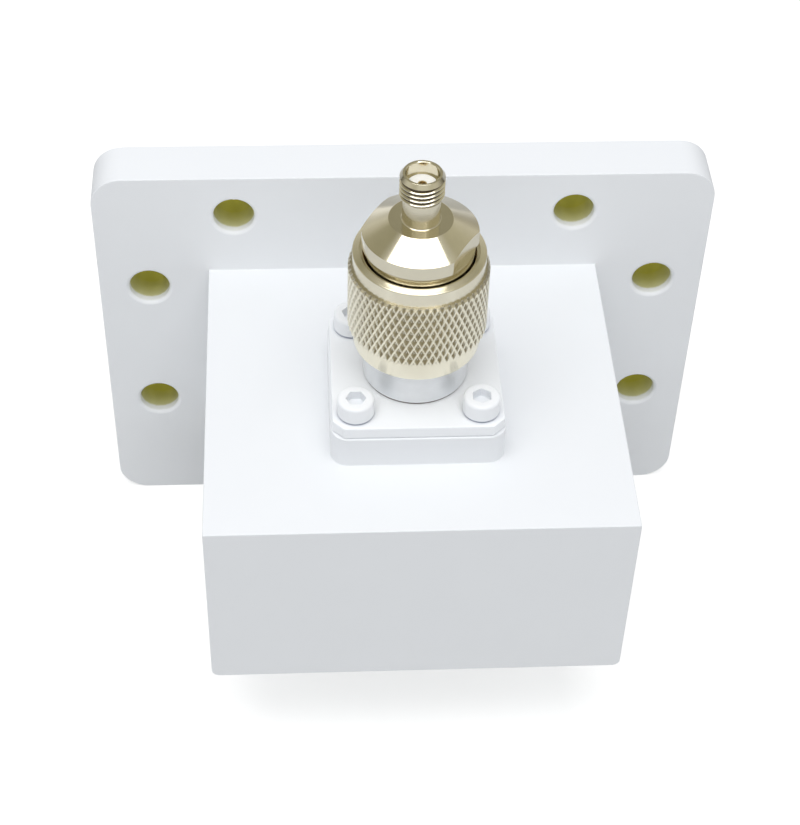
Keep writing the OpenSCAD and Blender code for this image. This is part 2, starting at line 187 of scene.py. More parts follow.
class ScrewSettings(bpy.types.PropertyGroup):
    """Sizes of the flange screws."""

    spacing: length("Spacing", 18.26, "Spacing of the screws")
    shank: length("Shank", 2.9, "Diameter of the shank")
    shank_length: length("Shank length", 7, "Length under the head")
    head: length("Head", 5.4, "Diameter of the head")
    head_height: length("Head height", 3, "Height of the head")
    key: length("Key", 2.6, "Width across the flats of the key hole")
    key_depth: length("Key depth", 1.5, "Depth of the key hole")
    edge: length("Edge", 0.52, "Setback of the head's rounded edge")
    under: length("Under edge", 0.3, "Setback of the head's lower edge")


class NutSettings(bpy.types.PropertyGroup):
    """Sizes of the coupling nut."""

    bore: length("Bore", 15.8, "Mean diameter of the nut's thread")
    foot_wall: length("Foot wall", 1.35, "Wall of the plain ring at the foot")
    foot_height: length("Foot height", 3.4, "Height of the plain ring at the foot")
    knurl_wall: length("Knurl wall", 2.2, "Wall at the ridges of the knurl")
    knurl_height: length("Knurl height", 10.75, "Height of the knurled band")
    knurl_depth: length("Knurl depth", 0.42, "Depth of the knurl's pits")
    pits_round: bpy.props.IntProperty(
        name="Pits round", description="Pits of the knurl round the nut", default=58, min=8
    )
    rows_up: bpy.props.IntProperty(
        name="Rows up", description="Half diamonds of the knurl up the band", default=9, min=2
    )
    shoulder: length("Shoulder", 0.32, "How far the knurl's upper end stands out from the plain ring above it")
    top_wall: length("Top wall", 1.6, "Wall of the plain ring at the top")
    top_edge: length("Top edge", 0.1, "Broken edge round the top")
    top_fall: length("Top fall", 0.26, "How far the top face slopes down to its outer edge")
    recess_step: length("Recess step", 0.6, "How far the recess in the top widens beyond the thread")
    recess_depth: length("Recess depth", 0.3, "Depth of the recess in the top")
    lip: length("Lip", 1.6, "Thickness of the lip that the retaining ring holds")
    gap: length("Gap", 0.3, "Running gap between the nut and the shell")
    clip: length("Clip", 0.9, "Thickness of the retaining ring")
    clip_stand: length("Clip stand", 0.5, "How far the retaining ring reaches under the lip")


class PlugSettings(bpy.types.PropertyGroup):
    """Sizes of the screw-on adapter's shell."""

    rim: length("Rim", 16.5, "Diameter of the rim")
    rim_clear: length("Rim gap", 1.25, "Gap between the nut's top and the rim")
    collar_gap: length("Collar gap", 0.22, "Gap between the nut's lip and the collar under the rim")
    rim_height: length("Rim height", 2.2, "Height of the rim")
    rim_edge: length("Rim edge", 0.08, "Broken lower edge of the rim")
    clip_groove: length("Clip groove", 0.6, "Depth of the groove for the retaining ring")
    cone_height: length("Cone height", 2.15, "Height of the cone")
    cone_top: length("Cone top", 9.05, "Diameter of the flat on top of the cone")
    flats: length("Flats", 14.6, "Width across the wrench flats")
    flats_turn: bpy.props.FloatProperty(
        name="Flats turn", description="Turn of the wrench flats about the coax axis",
        default=math.radians(-32), subtype="ANGLE",
    )
    fillet: length("Fillet", 0.2, "Setback of the fillet at the neck's foot")
    neck: length("Neck", 5.35, "Diameter of the small connector's neck")
    neck_height: length("Neck height", 3.8, "Height from the cone's flat to the thread")
    thread: length("Thread", 6.3, "Outside diameter of the small connector's thread")
    thread_depth: length("Thread depth", 0.42, "Height of the small thread from root to crest")
    pitch: length("Pitch", 25.4 / 36, "Rise of the small thread in a turn")
    thread_edge: length("Thread edge", 0.42, "How far the taper at the thread's end goes in")
    thread_lead: length("Thread lead", 0.62, "Height of that taper, down to the thread's first groove")
    relief: length("Relief", 0.4, "Width of the groove between the taper and the thread")
    mouth: length("Mouth", 4.6, "Diameter of the small connector's mouth")
    mouth_edge: length("Mouth edge", 0.12, "Broken edge round that mouth")
    core: length("Core", 4.1, "Diameter of the small connector's insulator")
    line: length("Line", 7, "Inside diameter of the coaxial line in the shell")
    line_height: length("Line height", 3.6, "Height of that line")
    ferrule_collar: length("Ferrule collar", 11.7, "Diameter of the seat of the ferrule's collar")
    ferrule_seat: length("Ferrule seat", 1.2, "Depth of that seat")


class StageSettings(bpy.types.PropertyGroup):
    """Camera, light and floor."""

    camera_place: spot("Camera", (-17.65, -249.17, 227.78), "Place of the camera")
    camera_aim: spot("Aim", (-2.005, -39.4, 14.17), "Point that the camera looks at")
    camera_roll: bpy.props.FloatProperty(
        name="Roll", description="Turn of the camera about its line of sight", subtype="ANGLE",
        default=math.radians(1.929),
    )
    focal: length("Focal length", 86.066, "Focal length on a 36 mm frame")
    lamp_place: spot("Lamp", (-20, -120, 340), "Place of the soft lamp")
    lamp_aim: spot("Lamp aim", (0, -40, 30), "Point that the soft lamp faces")
    lamp_width: length("Lamp width", 340, "Width of the soft lamp")
    lamp_depth: length("Lamp depth", 220, "Depth of the soft lamp")
    lamp_watts: bpy.props.FloatProperty(
        name="Lamp power", description="Power of the soft lamp", default=0.67, min=0, unit="POWER"
    )
    fill: bpy.props.FloatProperty(
        name="Fill", description="Strength of the room's even light", default=0.63, min=0
    )
    floor: colour("Floor", "#E2E2E0", "Pale floor")
    far_floor: colour("Far floor", "#98948A", "Dim floor far in front, as mirrors see it")
    floor_reach: length("Floor reach", 3000, "How far the floor goes to each side")


def feed(tree, node, inputs):
    """Fills a node's inputs: a socket is linked, and another value is set."""
    for key, value in inputs.items():
        if isinstance(value, bpy.types.NodeSocket):
            tree.links.new(value, node.inputs[key])
        else:
            node.inputs[key].default_value = value


def add_node(tree, kind, inputs=None, output=0, **settings):
    """Adds a shader node, sets its properties, fills its inputs and gives one of its outputs."""
    made = tree.nodes.new("ShaderNode" + kind)
    for key, value in settings.items():
        setattr(made, key, value)
    feed(tree, made, inputs or {})
    return made.outputs[output]


def new_material(name, constants):
    """A material with one Principled shader, whose constants are set on its sockets, and Object coordinates."""
    material = bpy.data.materials.new(name)
    material.use_nodes = True
    tree = material.node_tree
    shader = tree.nodes["Principled BSDF"]
    feed(tree, shader, constants)
    return material, tree, shader, add_node(tree, "TexCoord", output="Object")


def scaled(rgba, by):
    """A colour made darker or lighter."""
    return (*(min(1.0, c * by) for c in rgba[:3]), 1.0)


def powder_coat(name, rgba):
    """Baked powder coat: a satin white skin with a faint orange peel about a millimetre across."""
    material, tree, shader, place = new_material(name, {"Roughness": 0.42, "IOR": 1.5})
    peel, sheen, clouds = (
        add_node(tree, "TexNoise", {"Vector": place, "Scale": 1 / (size * MM)})
        for size in (1.1, 2.3, 9.0)
    )
    feed(tree, shader, {
        "Base Color": add_node(tree, "Mix", {
            "Factor": clouds, "A": scaled(rgba, 0.985), "B": rgba}, "Result", data_type="RGBA"),
        "Roughness": add_node(tree, "MapRange", {"Value": sheen, "To Min": 0.38, "To Max": 0.47}),
        "Normal": add_node(tree, "Bump", {"Height": peel, "Strength": 0.35, "Distance": 0.012 * MM}),
    })
    return material, tree, shader, place


def body_paint(finish, body):
    """Powder coat outside and yellow chromate on the bare metal inside the guide, the holes and the face.

    The attribute bare is 1 on bare faces, 0 outside and 0.5 in the bolt holes, where the paint ends
    in a ragged line a little way in from the front and thins out as overspray behind it. In the holes
    the coat is a darker, deeper copy of the bright film on the open faces, as painted shade.
    """
    material, tree, shader, place = powder_coat("white_powder_coat", finish.paint)
    painted, satin = (shader.inputs[name].links[0].from_socket for name in ("Base Color", "Roughness"))
    tatters, clouds = (
        add_node(tree, "TexNoise", {"Vector": place, "Scale": 1 / (size * MM), "Detail": detail})
        for size, detail in ((0.9, 3.0), (2.6, 4.0))
    )
    depth = add_node(tree, "SeparateXYZ", {"Vector": place}, "Y")
    ragged = add_node(tree, "Math", {0: tatters, 1: 0.4 * MM, 2: depth}, operation="MULTIPLY_ADD")
    limit = body.lip - body.flange_thickness
    covered, thinned = (
        add_node(tree, "MapRange", {
            "Value": ragged, "From Min": limit, "From Max": limit + run, "To Max": share})
        for run, share in ((0.4 * MM, 0.6), (body.overspray, 0.4))
    )
    past = add_node(tree, "Math", {0: covered, 1: thinned}, operation="ADD")
    bare = add_node(tree, "Attribute", output="Fac", attribute_name="bare")
    sure = add_node(tree, "Math", {0: bare, 1: 2.0, 2: -1.0}, operation="MULTIPLY_ADD")
    mask, open_face = (
        add_node(tree, "Math", {0: sure, 1: more}, operation="ADD", use_clamp=True)
        for more in (past, 0.0)
    )
    # The holes take the darker copy of the coat as painted shade, and the open faces take the bright film
    tint = add_node(tree, "Mix", {
        "Factor": open_face, "A": finish.shaded_hole_chromate, "B": finish.bright_film}, "Result", data_type="RGBA")
    cloudy = add_node(tree, "MapRange", {"Value": clouds, "To Min": 0.8, "To Max": 1.1})
    film = add_node(tree, "VectorMath", {0: tint, "Scale": cloudy}, operation="SCALE")
    metal = add_node(tree, "Math", {0: open_face, 1: 0.5, 2: 0.3}, operation="MULTIPLY_ADD")
    feed(tree, shader, {
        "Base Color": add_node(tree, "Mix", {
            "Factor": mask, "A": painted, "B": film}, "Result", data_type="RGBA"),
        "Roughness": add_node(tree, "Mix", {"Factor": mask, "A": satin, "B": 0.45}, "Result"),
        "Metallic": add_node(tree, "Math", {0: mask, 1: metal}, operation="MULTIPLY"),
    })
    return material


def plated(name, rgba, roughness, ring_mm, depth_mm, drawn=0.7):
    """Plate over turned metal: a bright warm mirror, drawn out across the fine rings that the tool left.

    The rings follow the distance from the coax axis and the height, so they run round every turned face.
    """
    material, tree, shader, place = new_material(name, {
        "Metallic": 1.0, "Roughness": roughness, "Anisotropic": drawn, "Anisotropic Rotation": 0.25})
    across = add_node(tree, "VectorMath", {
        0: place, 1: (1, 1, 0), 2: (0, -AXIS.y, 0)}, operation="MULTIPLY_ADD")
    reach = add_node(tree, "VectorMath", {0: across}, "Value", operation="LENGTH")
    height = add_node(tree, "SeparateXYZ", {"Vector": place}, "Z")
    ringed = add_node(tree, "CombineXYZ", {"X": reach, "Y": height})
    rings = add_node(tree, "TexNoise", {"Vector": ringed, "Scale": 1 / (ring_mm * MM), "Detail": 3.0})
    clouds = add_node(tree, "TexNoise", {"Vector": place, "Scale": 1 / (1.7 * MM)})
    feed(tree, shader, {
        "Base Color": add_node(tree, "Mix", {
            "Factor": clouds, "A": scaled(rgba, 0.93), "B": scaled(rgba, 1.03)}, "Result", data_type="RGBA"),
        "Roughness": add_node(tree, "MapRange", {
            "Value": rings, "To Min": roughness * 0.75, "To Max": roughness * 1.3}),
        "Normal": add_node(tree, "Bump", {"Height": rings, "Strength": 1.0, "Distance": depth_mm * MM}),
        "Tangent": add_node(tree, "Tangent", direction_type="RADIAL", axis="Z"),
    })
    return material, tree, shader, place


def lay_painted_shade(tree, shader, place, rgba, attribute, size_mm, detail, least, most):
    """Lays painted shade over a shader's own colour where an attribute says so, in patches about size_mm
    across.
    """
    mark = add_node(tree, "Attribute", output="Fac", attribute_name=attribute)
    lumps = add_node(tree, "TexNoise", {
        "Vector": place, "Scale": 1 / (size_mm * MM), "Detail": detail})
    uneven = add_node(tree, "MapRange", {"Value": lumps, "To Min": least, "To Max": most})
    patchy = add_node(tree, "Math", {0: mark, 1: uneven}, operation="MULTIPLY", use_clamp=True)
    under = shader.inputs["Base Color"].links[0].from_socket
    feed(tree, shader, {"Base Color": add_node(tree, "Mix", {
        "Factor": patchy, "A": under, "B": rgba}, "Result", data_type="RGBA")})


def shaded_plate(name, rgba, painted_shade, *turned):
    """Plate that shines where it is handled and takes painted shade in pits and roots, where a point attribute
    says so.
    """
    material, tree, shader, place = plated(name, rgba, *turned)
    lay_painted_shade(tree, shader, place, painted_shade, "sunk", 1.3, 3.0, 0.6, 1.3)
    return material


def sprayed_steel(finish):
    """White spray on steel screws, with painted shade laid under the heads and down the key holes where a point
    attribute says so.
    """
    material, tree, shader, place = powder_coat("white_spray_on_steel", finish.fitting_paint)
    lay_painted_shade(tree, shader, place, finish.steel_shade, "thin", 0.7, 2.0, 0.8, 1.1)
    return material


def fluoropolymer(rgba):
    """Turned fluoropolymer: waxy white that lets a little light in, with faint tool marks."""
    material, tree, shader, place = new_material("white_fluoropolymer", {
        "Roughness": 0.45, "IOR": 1.35, "Subsurface Weight": 0.25, "Subsurface Scale": 0.6 * MM,
        "Subsurface Radius": (1.0, 0.9, 0.8),
    })
    tool_marks, clouds = (
        add_node(tree, "TexNoise", {"Vector": place, "Scale": 1 / (size * MM)}) for size in (0.25, 0.8)
    )
    feed(tree, shader, {
        "Base Color": add_node(tree, "Mix", {
            "Factor": clouds, "A": scaled(rgba, 0.95), "B": rgba}, "Result", data_type="RGBA"),
        "Normal": add_node(tree, "Bump", {
            "Height": tool_marks, "Strength": 1.0, "Distance": 0.006 * MM}),
    })
    return material


def silicone(rgba):
    """Moulded silicone rubber: dull red-brown with a dusty skin."""
    material, tree, shader, place = new_material("red_silicone", {"Roughness": 0.62, "IOR": 1.41})
    dust = add_node(tree, "TexNoise", {"Vector": place, "Scale": 1 / (0.5 * MM), "Detail": 4.0})
    feed(tree, shader, {
        "Base Color": add_node(tree, "Mix", {
            "Factor": dust, "A": rgba, "B": scaled(rgba, 1.25)}, "Result", data_type="RGBA"),
        "Normal": add_node(tree, "Bump", {"Height": dust, "Strength": 0.5, "Distance": 0.01 * MM}),
    })
    return material


def rounded(corners, steps=5):
    """A profile of (radius, height, setback) corners with its corners rounded.

    Each corner becomes the parabola p + t(1-s)^2 a + t s^2 b, with t the setback and a and b the unit
    legs towards its neighbours. A point further out on each leg keeps the flats' shading flat.
    """
    corners = np.asarray(corners, float)
    points, setback = corners[:, :2], corners[:, 2, None, None]
    ahead = np.roll(points, -1, 0) - points
    ahead /= np.maximum(np.linalg.norm(ahead, axis=1, keepdims=True), 1e-12)
    back = -np.roll(ahead, 1, 0)
    s = np.linspace(0, 1, steps)
    near = np.concatenate(([1.5], (1 - s) ** 2, [0.0]))[None, :, None]
    far = np.concatenate(([0.0], s ** 2, [1.5]))[None, :, None]
    path = points[:, None] + setback * (near * back[:, None] + far * ahead[:, None])
    path = path.reshape(-1, 2)
    fresh = np.linalg.norm(path - np.roll(path, 1, 0), axis=1) > 1e-9
    fresh[0] = True
    return path[fresh]


def turned_rows(profile, columns):
    """Rows of a plain turned surface: each profile point's radius and height, the same all round."""
    return [np.repeat(profile[:, i, None], columns, 1) for i in (0, 1)]


def ridge(place, flank, crest):
    """Height from 0 to 1 of a thread at a place in its pitch: flat crest, straight flanks, flat root."""
    away = np.abs((place % 1.0) - 0.5)
    return np.clip((crest / 2 + flank - away) / flank, 0, 1)


def thread_rows(low, high, root, depth, pitch, turn, rows_each, start=0.0):
    """Rows of a right-hand thread: the root's radius and, above it, a ridge of height / pitch - turn - start.

    Turns and start are counted in whole turns. The flanks meet at 60 degrees, and the crest is an eighth
    of the pitch wide.
    """
    count = int(math.ceil(abs(high - low) / pitch * rows_each)) + 1
    height = np.repeat(np.linspace(low, high, count)[:, None], len(turn), 1)
    flank = depth * math.tan(math.radians(30)) / pitch
    return root + depth * ridge(height / pitch - turn[None] / TURN - start, flank, 0.125), height


def revolved(radius, turn, height):
    """Points about the coax axis from arrays of radius, turn and height, rows by columns."""
    turn = np.broadcast_to(turn, radius.shape)
    return np.stack((AXIS.x + radius * np.cos(turn), AXIS.y + radius * np.sin(turn), height), -1)


def skin(name, points, loop=False, other_way=None, sharp=32, **marks):
    """A mesh over a grid of points, rows by columns, whose columns close round.

    A cell is parted from its first corner to the opposite one, or the other way where other_way says so.
    loop joins the last row to the first. Rows that shrink to a point become a pole. Each mark is a number
    for every point, kept as an attribute.
    """
    rows, columns = points.shape[:2]
    index = np.arange(rows * columns).reshape(rows, columns)
    index = np.hstack((index, index[:, :1]))
    if loop:
        index = np.vstack((index, index[:1]))
    a, b, c, d = index[:-1, :-1], index[:-1, 1:], index[1:, 1:], index[1:, :-1]
    faces = np.stack((a, b, c, a, c, d), -1)
    if other_way is not None:
        faces = np.where(other_way[..., None], np.stack((a, b, d, b, c, d), -1), faces)
    mesh = bpy.data.meshes.new(name)
    mesh.from_pydata(points.reshape(-1, 3), [], faces.reshape(-1, 3))
    for key, values in marks.items():
        mesh.attributes.new(key, "FLOAT", "POINT").data.foreach_set("value", values.astype(np.float32).ravel())
    return settled(mesh, sharp)


def read(items, key, kind=float, width=1):
    """An array of one property of a mesh's points, corners or faces, with width numbers for each."""
    values = np.empty(len(items) * width, kind)
    items.foreach_get(key, values)
    return values.reshape(-1, width) if width > 1 else values


def whole_faces(mesh, test):
    """Which faces have all their points where a test of the points holds."""
    corners = read(mesh.loops, "vertex_index", int)
    return np.logical_and.reduceat(test[corners], read(mesh.polygons, "loop_start", int))


def settled(mesh, sharp, flat_angle=None):
    """Merges a mesh's doubled points, and shades it smooth up to the sharp angle in degrees.

    With flat_angle, faces that lie in one plane within that angle are joined first.
    """
    work = bmesh.new()
    work.from_mesh(mesh)
    bmesh.ops.remove_doubles(work, verts=work.verts, dist=1e-7)
    if flat_angle is not None:
        bmesh.ops.dissolve_limit(
            work, angle_limit=math.radians(flat_angle), verts=work.verts, edges=work.edges
        )
    if work.calc_volume(signed=True) < 0:
        raise RuntimeError(f"{mesh.name} is inside out")
    work.to_mesh(mesh)
    work.free()
    mesh.shade_smooth()
    mesh.set_sharp_from_angle(angle=math.radians(sharp))
    return mesh


def piece(name, mesh, material, body, slot, *nodes):
    """Puts a mesh in the scene with its material, on a body, in place of the solids it stands for."""
    made = bpy.data.objects.new(name, mesh)
    bpy.context.scene.collection.objects.link(made)
    mesh.materials.clear()
    mesh.materials.append(material)
    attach(made, body)
    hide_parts(*nodes)
    return made


def soften(made, setback, segments=3, group=""):
    """Rounds a piece's sharp edges, or the edges of a point group, and keeps its flats flat in the shading."""
    bevel = made.modifiers.new("Softened edges", "BEVEL")
    bevel.width = setback
    bevel.segments = segments
    bevel.limit_method = "VGROUP" if group else "ANGLE"
    bevel.vertex_group = group
    bevel.angle_limit = math.radians(EDGE_ANGLE)
    bevel.harden_normals = True


def merged_copy(node, sharp):
    """A copy of a solid's mesh with its loose triangles joined and its flat faces whole."""
    return settled(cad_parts[node].data.copy(), sharp, flat_angle=0.5)


def hole_reach(body, x, z):
    """How far points of the flange are from the axis of the nearest bolt hole."""
    return np.minimum(
        np.hypot(np.abs(x) - body.cover_holes_x / 2, np.abs(z) - body.cover_holes_z / 2),
        np.hypot(np.abs(x) - body.side_holes_x / 2, np.abs(z) - body.side_holes_z / 2),
    )


def hole_rims(mesh, body):
    """Squares the bolt holes where the mating face was lapped, and gives the points of their front edges."""
    points = read(mesh.vertices, "co", width=3)
    x, y, z = points.T
    on_rim = hole_reach(body, x, z) < body.hole / 2 + body.hole_edge + SLACK
    y[on_rim & (y > BODY_HIGH.y - body.hole_edge - SLACK)] = BODY_HIGH.y
    mesh.vertices.foreach_set("co", points.ravel())
    return np.flatnonzero(on_rim & (y < BODY_HIGH.y - body.flange_thickness + SLACK)).tolist()


def mark_bare(mesh, body):
    """Writes the attribute bare: 1 inside the guide and on the mating face, 0.5 in the bolt holes, else 0.

    A face counts where all its points do: within the guide's box, on the flange's plane, or within a
    bolt hole's edge.
    """
    x, y, z = read(mesh.vertices, "co", width=3).T
    in_guide = (np.abs(x) < body.guide_width / 2 + SLACK) & (np.abs(z) < body.guide_height / 2 + SLACK)
    in_guide &= y > BODY_LOW.y + body.end_wall - SLACK
    on_face = y > BODY_HIGH.y - SLACK
    in_hole = hole_reach(body, x, z) < body.hole / 2 + body.hole_edge + SLACK
    bare = np.where(whole_faces(mesh, in_hole), 0.5, 0.0)
    bare[whole_faces(mesh, in_guide) | whole_faces(mesh, on_face)] = 1.0
    mesh.attributes.new("bare", "FLOAT", "FACE").data.foreach_set("value", bare.astype(np.float32))


class WAVEGUIDE_OT_body(bpy.types.Operator):
    """Gives the body softened edges, its paint and the bare metal of its inner faces"""

    bl_idname = "waveguide.body"
    bl_label = "Painted body"

    def execute(self, context):
        body = context.scene.waveguide_body
        mesh = merged_copy("body", EDGE_ANGLE)
        front_edges = hole_rims(mesh, body)
        mark_bare(mesh, body)
        material = body_paint(context.scene.waveguide_finish, body)
        made = piece("painted_body", mesh, material, "root", "painted_body", "body")
        made.vertex_groups.new(name="hole_lips").add(front_edges, 1.0, "REPLACE")
        soften(made, body.lip_round, segments=5, group="hole_lips")
        soften(made, body.edge)
        level = made.modifiers.new("Level flats", "WEIGHTED_NORMAL")
        level.mode = "FACE_AREA"
        level.weight = 100
        level.keep_sharp = True
        return {"FINISHED"}


def flange_corners(half, cut, inset):
    """Corners of a square with cut corners, moved inwards by an inset, counterclockwise from the right side."""
    side = half - inset
    short = half - cut - inset * (math.sqrt(2) - 1)
    quarter = np.array([(side, -short), (side, short)])
    turns = [
        np.array([(math.cos(a), math.sin(a)), (-math.sin(a), math.cos(a))]) for a in np.arange(4) * TURN / 4
    ]
    return np.concatenate([quarter @ turn for turn in turns])


def flange_mesh(jack, side_cells=12, overlap=2 * MM):
    """The jack's flange: rows of the cut square, inset along a rounded edge, closed by rings on the axis."""
    half = (JACK_HIGH.x - JACK_LOW.x) / 2
    top = PAD_Z + jack.flange_thickness
    share = np.linspace(0, 1, side_cells, endpoint=False)[None, :, None]

    def outline(inset, z):
        corners = flange_corners(half, jack.corner_cut, inset)[:, None]
        path = corners + share * (np.roll(corners, -1, 0) - corners)
        path = path.reshape(-1, 2) + (AXIS.x, AXIS.y)
        return np.column_stack((path, np.full(len(path), z)))

    def ring(radius, z):
        path = outline(0, z)
        away = path[:, :2] - (AXIS.x, AXIS.y)
        path[:, :2] += away * (radius / np.linalg.norm(away, axis=1, keepdims=True) - 1)
        return path

    edge = rounded([(overlap, PAD_Z, 0), (0, PAD_Z, jack.seam), (0, top, jack.edge), (overlap, top, 0)])
    inner = jack.launch / 2
    rows = [ring(inner, PAD_Z)] + [outline(*point) for point in edge] + [ring(inner, top)]
    return skin("jack_flange", np.stack(rows), loop=True)


def barrel_mesh(jack, columns=192, rows_each=14):
    """The jack's barrel, thread and bore as one turned loop: up the outside, over the end and down the bore."""
    turn = np.arange(columns) * TURN / columns
    top = PAD_Z + jack.flange_thickness
    barrel_top = top + jack.barrel_length
    barrel, mouth, line, launch = jack.barrel / 2, jack.mouth / 2, jack.line / 2, jack.launch / 2
    end = JACK_HIGH.z
    root = jack.thread / 2 - jack.thread_depth / 2
    seat = end - jack.mating_depth
    groove, groove_top = barrel - jack.groove, top + jack.groove_height
    line_low = top + jack.launch_rise
    outside = rounded([
        (launch, top - STEP, 0), (groove, top - STEP, 0), (groove, groove_top, 0),
        (barrel, groove_top + jack.groove_slope, 0.05 * MM), (barrel, barrel_top, 0.2 * MM),
        (root, barrel_top, 0), (root, barrel_top + STEP, 0),
    ])
    radius, height = thread_rows(
        barrel_top + 1.2 * STEP, end - STEP, root, jack.thread_depth, jack.pitch, turn, rows_each
    )
    radius = root + (radius - root) * np.clip((height - barrel_top - STEP) / (2 * STEP), 0, 1)
    radius = np.minimum(radius, root + (end - height) * 1.2)
    inside = rounded([
        (root, end, 0.05 * MM), (mouth + STEP, end, 0), (mouth, end - STEP, 0.05 * MM),
        (mouth, seat, 0), (line, seat, 0.1 * MM), (line, line_low, 0),
        (launch, line_low, 0), (launch, top - STEP, 0),
    ])
    blocks = turned_rows(outside, columns), (radius, height), turned_rows(inside, columns)
    radius, height = (np.vstack(arrays) for arrays in zip(*blocks))
    # Painted shade goes in the groove at the barrel's foot
    sunk = (height < groove_top + SLACK) * (radius > launch + STEP)
    return skin("jack_barrel", revolved(radius, turn, height), loop=True, sharp=38, sunk=sunk)


class WAVEGUIDE_OT_jack(bpy.types.Operator):
    """Makes the panel jack: its flange with cut corners, the smooth barrel and the thread under the nut"""

    bl_idname = "waveguide.jack"
    bl_label = "Panel jack"

    def execute(self, context):
        jack, finish = context.scene.waveguide_jack, context.scene.waveguide_finish
        paint = powder_coat("white_spray_on_nickel", finish.fitting_paint)[0]
        silver = shaded_plate("satin_white_bronze", finish.silver, finish.root_shade, 0.5, 0.15, 0.004, 0.3)
        piece("jack_flange", flange_mesh(jack), paint, "root", "painted_fittings", "jack_shell")
        piece("jack_barrel", barrel_mesh(jack), silver, "root", "nickel_plate", "jack_shell")
        return {"FINISHED"}


# Each screw's corner of the flange and its key hole's turn in degrees, clockwise from the right rear
SCREW_CORNERS = ((1, 1), (1, -1), (-1, -1), (-1, 1))
SCREW_TURNS = (14, 30, 0, 47)


def screw_rows(screw, columns):
    """Rows of a cap screw, from its end up the shank and head, over the edge and down the six-sided key hole.

    The key hole's radius at a turn is half its width over the cosine of the turn from the nearest flat.
    The last array is the strength of the painted shade: full under the head, and light down the key hole.
    """
    turn = np.arange(columns) * TURN / columns
    head, shank, top = screw.head / 2, screw.shank / 2, screw.head_height
    # Beyond the key hole's corners, round its mouth, and on the drilled point of its floor
    land, mouth, drilled = (share * screw.key for share in (0.66, 0.56, 0.3))
    outside = rounded([
        (0, -screw.shank_length, 0), (shank, -screw.shank_length, 0.25 * MM), (shank, 0, 0),
        (head, 0, screw.under), (head, top, screw.edge), (land, top, 0),
    ])
    six = 1 / np.cos((turn % (TURN / 6)) - TURN / 12)
    floor = top - screw.key_depth
    hole = rounded([
        (mouth, top, 0), (screw.key / 2, top, 0.08 * MM), (screw.key / 2, floor, 0.1 * MM),
        (drilled, floor, 0), (0, floor - 0.25 * MM, 0),
    ])
    radius, height = turned_rows(outside, columns)
    hole_radius, hole_height = turned_rows(hole, columns)
    # Painted shade under the head and down the key hole
    thin = np.vstack((
        np.interp(height, (0.2 * MM, 0.34 * MM), (1, 0)),
        np.interp(top - hole_height, (0.05 * MM, 0.3 * MM, screw.key_depth), (0, 0.22, 0.08)),
    ))
    return np.vstack((radius, hole_radius * six)), np.vstack((height, hole_height)), turn, thin


class WAVEGUIDE_OT_screws(bpy.types.Operator):
    """Makes the socket head cap screws that hold the jack to its pad"""

    bl_idname = "waveguide.screws"
    bl_label = "Flange screws"

    def execute(self, context):
        screw = context.scene.waveguide_screw
        seat = PAD_Z + context.scene.waveguide_jack.flange_thickness
        radius, height, turn, thin = screw_rows(screw, 96)
        paint = sprayed_steel(context.scene.waveguide_finish)
        for number, (corner, turned) in enumerate(zip(SCREW_CORNERS, SCREW_TURNS), 1):
            points = revolved(radius, turn + math.radians(turned), height + seat)
            points += (corner[0] * screw.spacing / 2, corner[1] * screw.spacing / 2, 0)
            mesh = skin(f"cap_screw_{number}", points, thin=thin)
            piece(mesh.name, mesh, paint, "root", "painted_fittings", "flange_screws")
        return {"FINISHED"}


# The knurl's flank: shares of the way from a ridge to a pit's middle, and of the pit's depth there
FLANK_WAY = (0, 0.25, 0.5, 0.75, 1)
FLANK_DEPTH = (0, 0.03, 0.48, 0.9, 1)


def knurl_rows(nut, columns, low, steps):
    """Rows of a diamond knurl: two families of crossing ridges with a pit in each diamond, whose depth also
    sets its painted shade.

    With u the place round and v the place up, in diamonds, the ridges run where u + v and u - v are
    whole. The depth is the lesser of the distances from the nearest ridge of each family, eased so
    that the crests are narrow lands and the pits steep.
    """
    u = np.arange(columns)[None] * nut.pits_round / columns
    v = np.arange(nut.rows_up * steps // 2 + 1)[:, None] / steps
    away = [1 - 2 * np.abs((place % 1.0) - 0.5) for place in (u + v, u - v)]
    sunk = np.minimum(*away)
    eased = np.interp(sunk, FLANK_WAY, FLANK_DEPTH)
    radius = nut.bore / 2 + nut.knurl_wall - nut.knurl_depth * eased
    height = low + np.broadcast_to(v, radius.shape) * 2 * nut.knurl_height / nut.rows_up
    beside = np.roll(sunk, -1, 1)
    return radius, height, eased, (beside[:-1] + sunk[1:]) < (sunk[:-1] + beside[1:])


